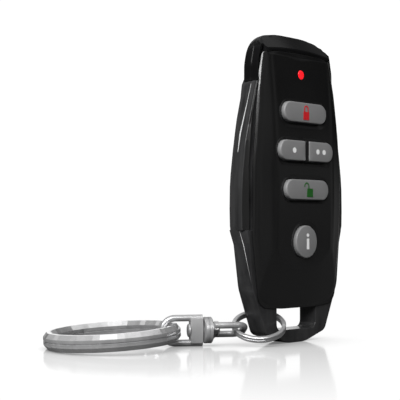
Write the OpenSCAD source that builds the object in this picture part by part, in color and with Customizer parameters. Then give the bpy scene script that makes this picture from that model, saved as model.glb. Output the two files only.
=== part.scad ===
// Alarm key fob with a swivel key chain, standing on its loop.
// Millimetres. Origin at the middle of the loop's foot, +Z up, the keys face -Y.

/* [Case outline] */
// Height of the open loop below the front cover
loop_h = 8.1; // [7.4:0.1:9.5]
// Height of the front cover from its chin to the hood
cover_h = 59.7; // [56:0.1:64]
// Height of the hood above the front cover
hood_h = 4.2; // [3.4:0.1:5]
// Width of the front cover at its widest
cover_w = 31.5; // [30:0.1:34]
// Width of the front cover at its shoulders
shoulder_w = 27.6; // [26.5:0.1:28.6]
// Width of the front cover where it meets the hood
brow_w = 22.6; // [21:0.1:24]
// Width of the front cover at its chin
chin_w = 27.4; // [26:0.1:29]
// Height of the hip, the lower end of the widest stretch, above the chin
hip_rise = 16.4; // [14:0.1:19]
// Height of the chest, the upper end of the widest stretch, above the chin
chest_rise = 32.9; // [30:0.1:36]
// Height of the shoulders above the chin
shoulder_rise = 49.9; // [48:0.1:51]

/* [Case depth] */
// Depth of the loop frame, front to back
frame_d = 5.0; // [4.4:0.1:6]
// How far the front cover stands out before the loop frame at its two ends
cover_rise = 1.7; // [1.5:0.05:2.2]
// How far the front cover swells out further at its middle
crown_h = 1.1; // [0.9:0.05:1.3]
// Radius of the swell, seen from the side
crown_r = 275; // [250:5:320]
// Height of the swell's middle above the chin
crown_rise = 27.9; // [27:0.1:29]
// How far the rear cover stands out behind the loop frame
rear_rise = 3.1; // [2.9:0.05:4]
// Wall of the covers and the housing
wall = 1.2; // [1:0.05:1.4]
// Half width of the flat strip down the middle of the front cover
strip_half = 10.4; // [9.6:0.1:11]
// Width over which the edge of the front cover rolls off
roll_w = 2.4; // [1.8:0.1:3]
// Radius of the crescent where the lower ramp of the cover starts
ramp_r = 19.9; // [18:0.1:24]
// Height of the lower ramp at the middle
ramp_h = 6.2; // [5:0.1:7]

/* [Loop frame and grips] */
// Width of the flat foot under the loop
foot_w = 6.4; // [5:0.1:8]
// Width of the bottom bar of the loop, corner to corner
bar_w = 21.2; // [20.4:0.1:22]
// Height of the bottom bar of the loop
bar_h = 3.1; // [2.4:0.1:3.5]
// Width of the opening of the loop
loop_w = 14.0; // [12.6:0.1:14.6]
// Corner radius of the opening of the loop
loop_r = 1.5; // [0.5:0.1:2]
// How far the frame stands out beside the cover at the waist, below the grips
waist_lip = 1.0; // [0.7:0.05:1.3]
// How far the side grips stand out beside the cover at its widest
grip_lip = 2.35; // [1.9:0.05:2.6]
// How far the side grips stand out beside the cover at their top end
grip_top_lip = 0.45; // [0.3:0.05:0.7]
// Height of the lower end of the grips above the chin
grip_rise = 16.2; // [14:0.1:18]
// Length of the grips
grip_len = 36; // [34:0.5:37]
// How far the beds of the grips reach in under the cover's edge
bed_inset = 0.3; // [0.1:0.05:0.5]

/* [Keys and lamp] */
// Width of the lock and unlock keys
key_w = 15.3; // [14:0.1:17]
// Width of the pair of dot keys together
pair_w = 19.1; // [18:0.1:20.6]
// Height of the long keys
key_h = 4.65; // [4.2:0.05:5]
// Diameter of the round info key
info_d = 7.6; // [7:0.05:8.4]
// Bar between the two dot keys
divider = 1.3; // [1.2:0.05:1.8]
// Pitch of the rows of long keys
key_pitch = 9.0; // [8.6:0.1:9.6]
// Height of the middle row of keys above the chin
row_rise = 36.5; // [35.5:0.1:37.5]
// Height of the info key above the chin
info_rise = 15.4; // [14.6:0.1:16.2]
// How far the keys stand out of the cover
key_proud = 0.9; // [0.6:0.05:1.2]
// Travel of the keys
key_travel = 0.5; // [0.3:0.05:0.6]
// Flange that holds a key behind the cover
key_flange = 0.5; // [0.4:0.02:0.54]
// Width of the shallow moat round each key
moat_w = 0.8; // [0.5:0.05:0.9]
// Height of the status lamp above the chin
lamp_rise = 54.5; // [53:0.1:55.5]
// Diameter of the status lamp
lamp_d = 2.1; // [1.6:0.05:2.6]

/* [Inside] */
// Thickness of the circuit board
board_t = 1.0; // [0.8:0.05:1.1]
// Diameter of the coin cell
cell_d = 20.0; // [18:0.1:20.4]
// Thickness of the coin cell
cell_t = 3.2; // [2.5:0.05:3.4]
// Height of the coin cell's middle above the chin
cell_rise = 22; // [21:0.1:23]
// Width of the antenna loop
antenna_w = 13; // [10:0.5:14]
// Height of the antenna loop
antenna_h = 5.6; // [4:0.1:5.8]
// Diameter of the screws' thread
screw_d = 1.4; // [1.2:0.05:1.6]
// Diameter of the screws' heads
screw_head_d = 2.6; // [2.3:0.05:2.8]

/* [Key chain] */
// Heading of the chain from the left arm of the loop, turned from +X
chain_angle = 147; // [135:1:160]
// Outer diameter of the small split ring
small_ring_d = 12.4; // [12:0.1:13.4]
// Radial thickness of the small split ring
small_ring_t = 0.9; // [0.7:0.05:1]
// Height of the small split ring's band
small_ring_h = 1.4; // [1.1:0.05:1.5]
// Tilt of the small ring, its side towards the keys low
small_ring_tilt = 26; // [24:1:28]
// Dip of the small ring towards the chain
small_ring_dip = 7; // [5:0.5:9]
// How far the small ring's middle lies outside the arm's middle
small_ring_shift = 0.7; // [0.5:0.05:0.9]
// Angle round the small ring where its turns end
small_split = 110; // [0:1:359]
// Wire of the swivel links
wire_d = 1.5; // [1.2:0.05:1.6]
// Height of a swivel link, over its wire
link_h = 7.1; // [6.9:0.1:7.8]
// Length of the eye of the link on the small ring, inside its wire
fob_eye = 5.55; // [5.2:0.05:6.5]
// Length of the eye of the link on the key ring, inside its wire
ring_eye = 5.5; // [5:0.1:7]
// Diameter of the swivel collar
collar_d = 6.0; // [5:0.1:6.6]
// Length of the swivel collar
collar_len = 1.9; // [1.4:0.1:3]
// Diameter of the swivel pin
pin_d = 1.8; // [1.4:0.05:2]
// Outer diameter of the key ring
key_ring_d = 30.6; // [28:0.1:34]
// Radial thickness of the key ring
key_ring_t = 2.4; // [1.8:0.1:2.6]
// Height of the key ring's band
key_ring_h = 3.7; // [3:0.05:3.8]
// Angle round the key ring where its turns end
key_split = 235; // [0:1:359]

/* [Hidden] */
$fn = 48;
far = 100;
arc_steps = 6;

// clearances
seam = 0.15;
fit = 0.05;
slip = 0.12;
frame_gap = 0.1;
rim_gap = 0.25;

// depth, front to back
frame_front = -frame_d / 2;
frame_back = frame_d / 2;
cover_back = frame_front - rim_gap;
cover_front = frame_front - cover_rise;
cover_inner = cover_front + wall;
rear_front = frame_back + rim_gap;
rear_back = frame_back + rear_rise;
rear_inner = rear_back - wall;
mid_front = cover_back + fit;
board_front = cover_inner + 0.05 + key_flange_t() + key_travel + 1.05;
board_back = board_front + board_t;
seam_y = board_front + 0.4;
function key_flange_t() = 0.55;

// heights
chin_z = loop_h;
brow_z = chin_z + cover_h;
fob_h = brow_z + hood_h;
hip_z = chin_z + hip_rise;
chest_z = chin_z + chest_rise;
shoulder_z = chin_z + shoulder_rise;
grip_z0 = chin_z + grip_rise;
grip_z1 = grip_z0 + grip_len;
row_z = chin_z + row_rise;
info_z = chin_z + info_rise;
lamp_z = chin_z + lamp_rise;
cell_z = chin_z + cell_rise;

// swell of the front cover: its foremost depth, and its depth at a height
crown_z = chin_z + crown_rise;
crown_top = cover_front - crown_h;
function crown_y(z) = crown_top + crown_r - sqrt(crown_r * crown_r - (z - crown_z) * (z - crown_z));

// An outline is a list of corners [x, z, radius], given for the right half from the foot to the top.
function flat_point(p) = [p[0], p[1]];
function unit(v) = v / norm(v);
function both_halves(half) =
    concat(half, [for (i = [len(half) - 1 : -1 : 0]) [-half[i][0], half[i][1], half[i][2]]]);
function corner_arc(a, b, c, r) =
    let (u = unit(a - b), v = unit(c - b), half = acos(u * v) / 2,
         centre = b + unit(u + v) * r / sin(half), reach = r / tan(half),
         from = b + u * reach - centre, to = b + v * reach - centre,
         start = atan2(from[1], from[0]),
         sweep = (atan2(to[1], to[0]) - start + 540) % 360 - 180)
    [for (i = [0 : arc_steps]) let (t = start + sweep * i / arc_steps) centre + r * [cos(t), sin(t)]];
function rounded(pts) =
    let (n = len(pts))
    [for (i = [0 : n - 1])
        let (a = flat_point(pts[(i + n - 1) % n]), b = flat_point(pts[i]), c = flat_point(pts[(i + 1) % n]))
        each (pts[i][2] > 0 ? corner_arc(a, b, c, pts[i][2]) : [b])];
function grown(pts, d) =
    let (n = len(pts))
    [for (i = [0 : n - 1])
        let (a = flat_point(pts[(i + n - 1) % n]), b = flat_point(pts[i]), c = flat_point(pts[(i + 1) % n]),
             u = unit(b - a), v = unit(c - b), nu = [u[1], -u[0]], nv = [v[1], -v[0]],
             s = d * (nu + nv) / (1 + nu * nv))
        [b[0] + s[0], b[1] + s[1], pts[i][2] > 0 ? max(pts[i][2] + d, 0.2) : 0]];

// Edge of the front and rear covers
cover_outline = both_halves([
    [6, chin_z, 30],
    [chin_w / 2, chin_z + 0.7, 3.4],
    [cover_w / 2 - 0.05, hip_z, 30],
    [cover_w / 2, chest_z, 45],
    [shoulder_w / 2, shoulder_z, 30],
    [brow_w / 2, brow_z + 1.4, 2]]);
rear_outline = grown(cover_outline, -1.5);
// Case walls inside the loop frame, and the room inside the case
core_inset = 1.8;
core_outline = grown(cover_outline, -core_inset);
room_outline = grown(core_outline, -wall);
// Outer edge of the loop frame with its grips, from the foot to the top of the legs
grip_out = cover_w / 2 + grip_lip;
grip_top = shoulder_w / 2 - 0.75 + grip_top_lip;
frame_outline = both_halves([
    [foot_w / 2, 0, 10],
    [bar_w / 2, bar_h - 0.8, 2.2],
    [chin_w / 2 + 1.6, chin_z + 5, 8],
    [cover_w / 2 + waist_lip, grip_z0 - 0.6, 5],
    [grip_out, grip_z0 + 2.8, 3],
    [grip_out, chest_z - 3.5, 50],
    [shoulder_w / 2 + 2.05, shoulder_z - 6.5, 60],
    [grip_top, grip_z1, 0]]);
// Head of the case above the frame, flush with the grips
head_outline = both_halves([
    [grip_top - 0.15, grip_z1 + seam, 0],
    [grip_top - 0.05, grip_z1 + 3.9, 8],
    [brow_w / 2 + 0.7, fob_h - 1.2, 4.5],
    [5, fob_h, 20]]);
// Section of the covers across the fob, [x, y, radius]
front_section = both_halves([
    [cover_w / 2 + 1.6, cover_back, 0],
    [cover_w / 2 + 1.6, cover_back - 0.2, 0],
    [strip_half, crown_top, 8]]);
rear_half = strip_half - 2.5;
rear_section = both_halves([
    [cover_w / 2 + 1.6, frame_back - 0.8, 0],
    [cover_w / 2 + 1.6, rear_front, 0],
    [cover_w / 2 + 0.3, rear_front + 0.15, 0],
    [rear_half, rear_back, 8]]);

module shape(pts) polygon(rounded(pts));
// A flat shape, drawn as seen from the front, carried from depth y0 back to y1
module slab(y0, y1) translate([0, y1, 0]) rotate([90, 0, 0]) linear_extrude(y1 - y0) children();
// A section across the fob, run up its height
module column() linear_extrude(fob_h + 1) children();
module above(z) translate([-far, z]) square([2 * far, far]);
module disc_at(x, z, d) translate([x, z]) circle(d = d);
// A slab whose front edge rolls off over width w, down to a rim of thickness rim
module rolled(pts, y0, y1, w, rim) hull() for (a = [0 : 30 : 90])
    slab(y1 - rim - (y1 - rim - y0) * sin(a), y1) shape(grown(pts, -w * (1 - cos(a))));

// The front section, swept along the swell of the cover
module swell() translate([0, crown_top + crown_r, crown_z]) rotate([0, 90, 0])
    rotate_extrude($fn = 900) polygon(concat([[0, cover_w / 2 + 1.6]],
        [for (p = rounded(front_section)) [crown_r + crown_top - p[1], p[0]]], [[0, -cover_w / 2 - 1.6]]));

// Cone that turns the lower end of a cover down to its edge, run on by over before the face
edge_t = 0.35;
module ramp(face, edge, up, over = 0) {
    run = abs(edge - face) - edge_t;
    full = ramp_r + ramp_h * abs(edge - face) / run;
    small = ramp_r - ramp_h * over / run;
    out = face < edge ? 90 : -90;
    middle = up ? brow_z - 1 - ramp_h - ramp_r : chin_z + ramp_h + ramp_r;
    translate([0, edge, middle]) {
        rotate([out, 0, 0]) cylinder(h = abs(edge - face) + over, r1 = full, r2 = small, $fn = 120);
        translate([-far, -far, up ? -2 * far : 0]) cube(2 * far);
    }
}
// Area under the arched lower edge of the hood
brow_r = 108;
module under_hood(gap) translate([0, brow_z - brow_r]) circle(brow_r - gap, $fn = 200);

// Screw places, [x, z]
screw_places = [for (s = [-1, 1])
    each [[s * (chin_w / 2 - 3.5), chin_z + 9.4], [s * (brow_w / 2 - 2.9), brow_z - 6.3]]];
boss_d = screw_d + 2.2;

// Faces of the five keys: lock, unlock, one dot, two dots, info
key_names = ["lock", "unlock", "one dot", "two dots", "info"];
key_middle = [[0, row_z + key_pitch], [0, row_z - key_pitch],
    [-pair_w / 4 - divider / 4, row_z], [pair_w / 4 + divider / 4, row_z], [0, info_z]];
module pill(x, z, w, h) {
    for (s = [-1, 1]) disc_at(x + s * (w - h) / 2, z, h);
    translate([x - (w - h) / 2, z - h / 2]) square([w - h, h]);
}
module key_face(i, grow) {
    h = key_h + 2 * grow;
    if (i < 2) pill(0, key_middle[i][1], key_w + 2 * grow, h);
    if (i == 2 || i == 3) mirror([i == 2 ? 1 : 0, 0]) {
        disc_at(pair_w / 2 - key_h / 2, row_z, h);
        translate([divider / 2 - grow, row_z - h / 2])
            square([pair_w / 2 - key_h / 2 - divider / 2 + grow, h]);
    }
    if (i == 4) disc_at(0, info_z, info_d + 2 * grow);
}

// Gloss black front panel with the key openings
moat_t = 0.3;
rib_t = 0.7;
rib_back = mid_front + 0.9;
// Bar between the two dot keys
split_proud = 0.75;
split_w = divider - 2 * slip;
split_h = key_h + 0.2;
module front_cover() color("#161616") {
    cover_panel();
    slab(crown_y(row_z) - split_proud, crown_y(row_z) + 2 * moat_t)
        translate([-split_w / 2, row_z - split_h / 2]) square([split_w, split_h]);
}
module cover_panel() difference() {
    union() {
        intersection() {
            rolled(cover_outline, crown_top, cover_back, roll_w, edge_t);
            slab(crown_top - 1, cover_back) under_hood(seam);
            swell();
            ramp(cover_front, cover_back, false, crown_h + 0.2);
        }
        slab(cover_back - edge_t, rib_back) difference() {
            shape(grown(room_outline, -slip));
            shape(grown(room_outline, -slip - rib_t));
            for (p = screw_places) disc_at(p[0], p[1], boss_d + 0.6);
        }
    }
    slab(cover_inner, cover_back + fit) shape(grown(room_outline, -slip - rib_t));
    for (i = [0 : 4]) {
        slab(crown_top - 1, cover_inner + 1) key_face(i, slip);
        slab(crown_top - 1, crown_y(key_middle[i][1]) + moat_t) key_face(i, moat_w);
    }
    slab(crown_top - 1, cover_inner + 1) disc_at(0, lamp_z, lamp_d + 2 * fit);
}

// Black bezel ring behind the panel, with the sloped hood above it
hood_proud = 0.05;
hood_lip = 0.7;
ledge_w = 0.9;
ledge_t = 0.7;
// Step round the head, under the rim of the cover
cheek = 0.7;
module bosses(y0, y1, d) slab(y0, y1) for (p = screw_places) disc_at(p[0], p[1], d);
hood_front = crown_y(brow_z) - hood_proud;
hood_outline = both_halves([
    [brow_w / 2 + 0.2, brow_z - 4, 0],
    [brow_w / 2 + 0.3, fob_h - 1, 3],
    [5, fob_h, 20]]);
hood_section = both_halves([
    [cover_w / 2 + 1.6, seam_y, 0],
    [cover_w / 2 + 1.6, cover_back, 0],
    [strip_half, hood_front, 8]]);
module hood() intersection() {
    slab(hood_front, mid_front + 0.5) difference() {
        shape(hood_outline);
        under_hood(0);
    }
    column() shape(hood_section);
}
// Slope of the hood, from its front lip back to the top of the case
module hood_slope() {
    top_r = 85;
    translate([0, seam_y, fob_h - top_r]) rotate([90, 0, 0])
        cylinder(h = seam_y - hood_front, r1 = top_r, r2 = top_r - fob_h + brow_z + hood_lip, $fn = 200);
}
module mid_housing() color("#1a1a1a") {
    intersection() {
        union() {
            difference() {
                union() {
                    slab(mid_front, seam_y) {
                        shape(core_outline);
                        shape(grown(head_outline, -cheek));
                    }
                    slab(mid_front + cheek, seam_y) shape(head_outline);
                }
                slab(mid_front - 1, seam_y + 1) shape(room_outline);
            }
            hood();
        }
        hood_slope();
    }
    slab(rib_back + fit, rib_back + fit + ledge_t) difference() {
        shape(grown(room_outline, 0.1));
        shape(grown(room_outline, -ledge_w));
        for (p = screw_places) disc_at(p[0], p[1], screw_d + 2 * fit);
    }
    difference() {
        bosses(mid_front, seam_y, boss_d);
        bosses(mid_front + 0.5, seam_y + 1, screw_d + 2 * fit);
    }
}

// Black rear cover, a tub that carries the board, the cell and the screws
gasket_w = 0.5;
gasket_d = 0.4;
head_back = frame_back - 0.8;
rear_wall = wall - 0.2;
screw_seat = frame_back + 0.6;
module rear_shell() {
    slab(seam_y + fit, rear_front) shape(core_outline);
    slab(seam_y + fit, head_back) shape(head_outline);
    intersection() {
        union() {
            slab(rear_front, rear_back) shape(rear_outline);
            slab(head_back, rear_front) intersection() {
                shape(rear_outline);
                above(grip_z1 + seam);
            }
        }
        column() shape(rear_section);
        ramp(rear_back, rear_front, false);
        ramp(rear_back, rear_front, true);
    }
}
module gasket_ring(grow) difference() {
    shape(grown(core_outline, -(wall - gasket_w) / 2 + grow));
    shape(grown(core_outline, -(wall + gasket_w) / 2 - grow));
}
module rear_cover() color("#171717") difference() {
    union() {
        difference() {
            rear_shell();
            slab(seam_y - 1, frame_back) shape(room_outline);
            intersection() {
                slab(frame_back - 1, rear_inner) shape(grown(room_outline, -2));
                column() shape([for (p = rear_section) [p[0], p[1] - rear_wall, p[2]]]);
                translate([0, -rear_wall, 0]) ramp(rear_back, rear_front, false);
                translate([0, -rear_wall, 0]) ramp(rear_back, rear_front, true);
            }
            slab(seam_y, seam_y + fit + gasket_d) gasket_ring(fit);
        }
        intersection() {
            union() {
                bosses(seam_y + fit, rear_back, boss_d);
                slab(board_back + fit, rear_back) for (s = [-1, 1])
                    translate([s * (cell_d / 2 - 2) - 1, cell_z - cell_d / 2 - 3.6]) square([2, 1.2]);
            }
            rear_shell();
        }
    }
    bosses(seam_y - 1, rear_back + 1, screw_d + 2 * slip);
    bosses(screw_seat, rear_back + 1, screw_head_d + 2 * slip);
}

// Rubber seal between the bezel ring and the rear cover
module case_gasket() color("#303030") slab(seam_y + fit / 2, seam_y + fit + gasket_d - fit) gasket_ring(0);

// Four screws that hold the rear cover
module case_screws() color("silver") {
    head_t = 0.9;
    head_y = screw_seat + fit;
    for (p = screw_places) translate([p[0], 0, p[1]]) difference() {
        union() {
            translate([0, head_y + head_t, 0]) rotate([90, 0, 0]) cylinder(h = head_t, d = screw_head_d);
            translate([0, head_y, 0]) rotate([90, 0, 0])
                cylinder(h = head_y - mid_front - 0.6, d = screw_d);
        }
        for (a = [0, 90]) translate([0, head_y + head_t, 0]) rotate([0, a, 0])
            cube([screw_head_d * 0.6, 0.8, 0.35], center = true);
    }
}

// Dark grey U frame, whose bottom is the open key loop
// The beds of the grips start a little above the waist
bed_z = grip_z0 + 2;
module grip_bed(gap) difference() {
    above(bed_z - gap);
    shape(grown(cover_outline, -bed_inset - gap));
}
module loop_frame() color("#333436") slab(frame_front, frame_back) difference() {
    shape(frame_outline);
    shape(grown(core_outline, frame_gap));
    shape([[loop_w / 2, bar_h, loop_r], [loop_w / 2, hip_z, 0], [-loop_w / 2, hip_z, 0],
        [-loop_w / 2, bar_h, loop_r]]);
    grip_bed(fit);
}

// Dark grey side grips in beds along the legs, with a ridge down the middle of their outer faces
grip_roof = 0.25;
module grip(side) intersection() {
    slab(frame_front + fit, frame_back - fit) intersection() {
        shape(frame_outline);
        grip_bed(0);
        translate([side < 0 ? -far : 0, 0]) square(far);
    }
    hull() {
        slab(-0.1, 0.1) shape(frame_outline);
        slab(frame_front, frame_back) shape(grown(frame_outline, -grip_roof));
    }
}
module grip_left() color("#3a3b3d") grip(-1);
module grip_right() color("#3a3b3d") grip(1);

// Grey keys, each held behind the cover by its flange
key_edge = 0.3;
plunger_d = 2.2;
flange_front = cover_inner + fit;
flange_back = flange_front + key_flange_t();
plunger_back = flange_back + 0.5;
module key(i) {
    key_front = crown_y(key_middle[i][1]) - key_proud;
    hull() {
        slab(key_front + key_edge, flange_back) key_face(i, 0);
        slab(key_front, flange_back) key_face(i, -key_edge);
    }
    slab(flange_front, flange_back) key_face(i, key_flange);
    slab(flange_back - fit, plunger_back) disc_at(key_middle[i][0], key_middle[i][1], plunger_d);
}
module lock_key() color("#7b7b7b") key(0);
module unlock_key() color("#7b7b7b") key(1);
module one_dot_key() color("#7b7b7b") key(2);
module two_dot_key() color("#7b7b7b") key(3);
module info_key() color("#7b7b7b") key(4);

// Red lamp window, a short light pipe with a flange
lens_proud = 0.15;
lens_flange = 0.55;
led_t = 0.7;
module lamp_lens() color("red") {
    slab(crown_y(lamp_z) - lens_proud, flange_back) disc_at(0, lamp_z, lamp_d);
    slab(flange_front, flange_back) disc_at(0, lamp_z, lamp_d + 2 * lens_flange);
    slab(flange_back - fit, board_front - led_t - slip) disc_at(0, lamp_z, lamp_d - 0.4);
}

// Rubber sheet that springs the keys, with a collar round each plunger
mat_t = 0.6;
mat_back = board_front - fit;
module keypad_mat() color("#8c8c8c") difference() {
    union() {
        slab(mat_back - mat_t, mat_back) intersection() {
            shape(grown(room_outline, -ledge_w - slip));
            translate([-far, info_z - info_d / 2 - 2])
                square([2 * far, row_z + key_pitch + key_h - info_z + info_d / 2 + 2]);
        }
        for (p = key_middle) slab(flange_back + key_travel + fit, mat_back - mat_t)
            disc_at(p[0], p[1], plunger_d + 2.2);
    }
    for (p = key_middle) slab(mat_back - 3, mat_back + 1) disc_at(p[0], p[1], dome_d + 2 * slip);
    bosses(mat_back - 3, mat_back + 1, boss_d + 2 * slip);
}

// Metal snap domes under the plungers
dome_d = 3.2;
dome_t = 0.4;
module snap_domes() color("gainsboro") for (p = key_middle)
    translate([p[0], board_front - fit / 5, p[1]]) rotate([90, 0, 0])
        cylinder(h = dome_t, d1 = dome_d, d2 = dome_d * 0.5);

// Green circuit board on the ledge of the bezel ring
board_low = chin_z + 5.5;
module circuit_board() color("#1f5d3a") slab(board_front, board_back) difference() {
    intersection() {
        shape(grown(room_outline, -slip));
        above(board_low);
    }
    for (p = screw_places) disc_at(p[0], p[1], boss_d + 2 * slip);
}

// Chips and small parts on the board, [x, z, width, height, thickness]
chip_z = row_z + 6;
module on_back(x, z, w, h, t) slab(board_back + 0.01, board_back + t)
    translate([x - w / 2, z - h / 2]) square([w, h]);
module controller_chip() color("#202020") on_back(-4.6, chip_z, 5, 5, 0.9);
module radio_chip() color("#232323") on_back(4.4, chip_z + 1, 4, 4, 0.85);
module crystal() color("silver") on_back(4.4, chip_z - 3.4, 3.2, 2.5, 0.75);
module chip_parts() color("#b39b77") for (i = [0 : 6])
    on_back(-7.2 + 2.4 * i, chip_z + 4, 0.8, 1.6, 0.45);
module antenna() color("#b87333") slab(board_back + 0.01, board_back + 0.25) difference() {
    antenna_z = lamp_z - 0.8 - antenna_h;
    translate([-antenna_w / 2, antenna_z]) square([antenna_w, antenna_h]);
    translate([1 - antenna_w / 2, antenna_z + 1]) square([antenna_w - 2, antenna_h - 2]);
    translate([-0.5, antenna_z - 0.6]) square([1, 2]);
}
module status_led() color("#f4f0e8") slab(board_front - led_t, board_front - 0.01)
    translate([-0.8, lamp_z - 0.4]) square([1.6, 0.8]);

// Coin cell with its cradle and two contacts, behind the board
contact_t = 0.25;
cell_front = board_back + contact_t + 0.1;
holder_t = 1.0;
holder_slot = 7;
module coin_cell() color("lightgray") {
    slab(cell_front, cell_front + 0.6) disc_at(0, cell_z, cell_d - 3);
    slab(cell_front + 0.5, cell_front + cell_t) disc_at(0, cell_z, cell_d);
}
module cell_holder() color("#2a2a2a") slab(board_back + 0.02, board_back + 2.2) difference() {
    disc_at(0, cell_z, cell_d + 2 * (slip + holder_t));
    disc_at(0, cell_z, cell_d + 2 * slip);
    translate([-holder_slot / 2, cell_z]) square([holder_slot, far]);
}
module negative_contact() color("goldenrod") slab(board_back + 0.02, cell_front - 0.05)
    translate([-2, cell_z - 6]) square([4, 12]);
module positive_contact() color("goldenrod") {
    arm = cell_front + cell_t + fit;
    reach = cell_d / 2 + slip + 0.4;
    slab(arm, arm + contact_t) translate([-holder_slot / 2 + 1.5, cell_z + 2])
        square([holder_slot - 3, reach - 2 + contact_t]);
    slab(board_back + 0.02, arm + contact_t) translate([-holder_slot / 2 + 1.5, cell_z + reach])
        square([holder_slot - 3, contact_t]);
}

// The key chain lies along one heading from the left arm of the loop
arm_x = -(loop_w / 2 + bar_w / 2 + 1.3) / 2;
swivel_z = link_h / 2;
link_mid = link_h - wire_d;
ring_mid = small_ring_d / 2 - small_ring_t / 2;
ring_z = swivel_z + ring_mid * sin(small_ring_dip);
fob_bow = small_ring_shift + ring_mid - 2.05;
fob_block = fob_bow + wire_d / 2 + fob_eye;
block_t = 1.1;
collar_start = fob_block + block_t + fit;
ring_block = collar_start + collar_len + seam;
ring_block_t = 3.0;
ring_bow = ring_block + ring_block_t + ring_eye + wire_d / 2;
key_mid = key_ring_d / 2 - key_ring_t / 2;
key_flat = 0.8;
eye_t = ring_bow - wire_d / 2 - key_ring_t / 2 - 0.75;
key_tilt = asin((swivel_z - key_ring_h / 2) / (2 * key_mid + key_flat / 2));
module chain() translate([arm_x, 0, 0]) rotate([0, 0, chain_angle]) children();
module along(t, len, d) translate([t, 0, 0]) rotate([0, 90, 0]) cylinder(h = len, d = d);

// Flat split ring through the loop, two turns of band with a seam between them
module split_ring(mid, half_t, profile, h, split) difference() {
    rotate_extrude($fn = 96) translate([mid, 0]) polygon(profile);
    for (s = [-1, 1]) rotate([0, 0, split + s * 7]) translate([mid, 0, s * h / 2])
        cube([4 * half_t, 0.25, h], center = true);
}
module small_ring() color("silver") chain() translate([small_ring_shift, 0, ring_z])
    rotate([0, small_ring_dip, 0]) rotate([-small_ring_tilt, 0, 0]) {
        w = small_ring_t / 2;
        h = small_ring_h / 2;
        groove = 0.1;
        split_ring(ring_mid, w, [[w, -h], [w, -groove], [w - groove, 0], [w, groove], [w, h],
            [-w, h], [-w, groove], [groove - w, 0], [-w, -groove], [-w, -h]], small_ring_h, small_split);
    }

// A wire link: two arms, a round bow at t0, and a block at t1
module link(bow_t, bow_r, block_at, block_len, thick, bore) {
    half = link_mid / 2;
    end = block_at + block_len;
    difference() {
        union() {
            for (s = [-1, 1]) {
                translate([0, s * half, 0]) along(bow_t + bow_r, end - bow_t - bow_r, wire_d);
                translate([bow_t + bow_r, s * (half - bow_r), 0]) rotate([0, 0, s > 0 ? 90 : 180])
                    rotate_extrude(angle = 90) translate([bow_r, 0]) circle(d = wire_d);
            }
            translate([bow_t, half - bow_r, 0]) rotate([90, 0, 0])
                cylinder(h = link_mid - 2 * bow_r, d = wire_d);
            translate([block_at, -half, -thick / 2]) cube([block_len, link_mid, thick]);
        }
        along(block_at - 1, block_len + 2, bore);
    }
}
module fob_link() color("silver") chain() translate([0, 0, swivel_z]) rotate([small_ring_tilt, 0, 0])
    link(fob_bow, 2, fob_block, block_t, 2.2, pin_d + 2 * fit);
module swivel_collar() color("silver") chain() translate([0, 0, swivel_z]) difference() {
    along(collar_start, collar_len, collar_d);
    along(collar_start - 1, collar_len + 2, pin_d + 2 * fit);
}
head_t = 0.5;
head_d = 3.0;
module swivel_pin() color("silver") chain() translate([0, 0, swivel_z]) {
    last = ring_block + ring_block_t + fit;
    along(fob_block - fit - head_t, head_t, head_d);
    along(fob_block - fit - 0.1, last - fob_block + fit + 0.2, pin_d);
    along(last, head_t, head_d);
}
module ring_link() color("silver") chain() translate([ring_bow + ring_block, 0, swivel_z]) rotate([90, 0, 0])
    mirror([1, 0, 0]) link(ring_block, link_mid / 2 - 0.1, ring_bow - ring_block_t, ring_block_t, 2.4,
        pin_d + 2 * fit);

// Large bevelled split ring, resting on the floor at its far side
module key_ring() color("silver") chain() translate([eye_t, 0, swivel_z]) rotate([0, key_tilt, 0])
    translate([key_mid, 0, 0]) {
        w = key_ring_t / 2;
        h = key_ring_h / 2;
        flat = key_flat / 2;
        shoulder = h - 1;
        groove = 0.13;
        upper = [[w, groove], [w, shoulder], [flat, h], [-flat, h], [-w, shoulder], [-w, groove]];
        split_ring(key_mid, w, concat(upper, [[groove - w, 0]],
            [for (i = [5 : -1 : 0]) [upper[i][0], -upper[i][1]]], [[w - groove, 0]]), key_ring_h, key_split);
    }

front_cover();
mid_housing();
rear_cover();
case_gasket();
case_screws();
loop_frame();
grip_left();
grip_right();
lock_key();
unlock_key();
one_dot_key();
two_dot_key();
info_key();
lamp_lens();
keypad_mat();
snap_domes();
circuit_board();
controller_chip();
radio_chip();
crystal();
chip_parts();
antenna();
status_led();
coin_cell();
cell_holder();
negative_contact();
positive_contact();
small_ring();
fob_link();
swivel_collar();
swivel_pin();
ring_link();
key_ring();
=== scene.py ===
import bpy
import bmesh
from math import acos, atan2, cos, hypot, pi, radians, sin, sqrt, tan
from mathutils import Matrix, Vector


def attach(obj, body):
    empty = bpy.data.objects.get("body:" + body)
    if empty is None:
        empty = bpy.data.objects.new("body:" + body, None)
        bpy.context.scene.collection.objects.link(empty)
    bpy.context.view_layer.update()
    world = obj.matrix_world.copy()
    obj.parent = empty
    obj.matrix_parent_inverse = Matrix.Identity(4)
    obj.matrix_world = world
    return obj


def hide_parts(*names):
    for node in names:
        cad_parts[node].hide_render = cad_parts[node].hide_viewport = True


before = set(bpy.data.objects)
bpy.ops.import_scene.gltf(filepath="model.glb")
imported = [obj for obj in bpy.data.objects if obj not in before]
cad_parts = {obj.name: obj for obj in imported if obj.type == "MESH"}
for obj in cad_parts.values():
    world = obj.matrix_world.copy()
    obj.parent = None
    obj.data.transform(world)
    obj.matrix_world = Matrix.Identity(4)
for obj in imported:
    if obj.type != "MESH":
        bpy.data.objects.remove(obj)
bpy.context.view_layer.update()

# Head and hood
# The black upper shell of the case, injection moulded in ABS and polished. Its sloped hood
# shades the lamp, and its rear edge meets the rear cover at a fine seam.
mm = 0.001
weld = 0.002
shell_seam = -0.45
seam_inset = 0.12
head_foot = 60.38
head_front = -2.50
head_slices = [-0.57, -1.2, -1.9, head_front]
shoulder_r = 4.5
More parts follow.
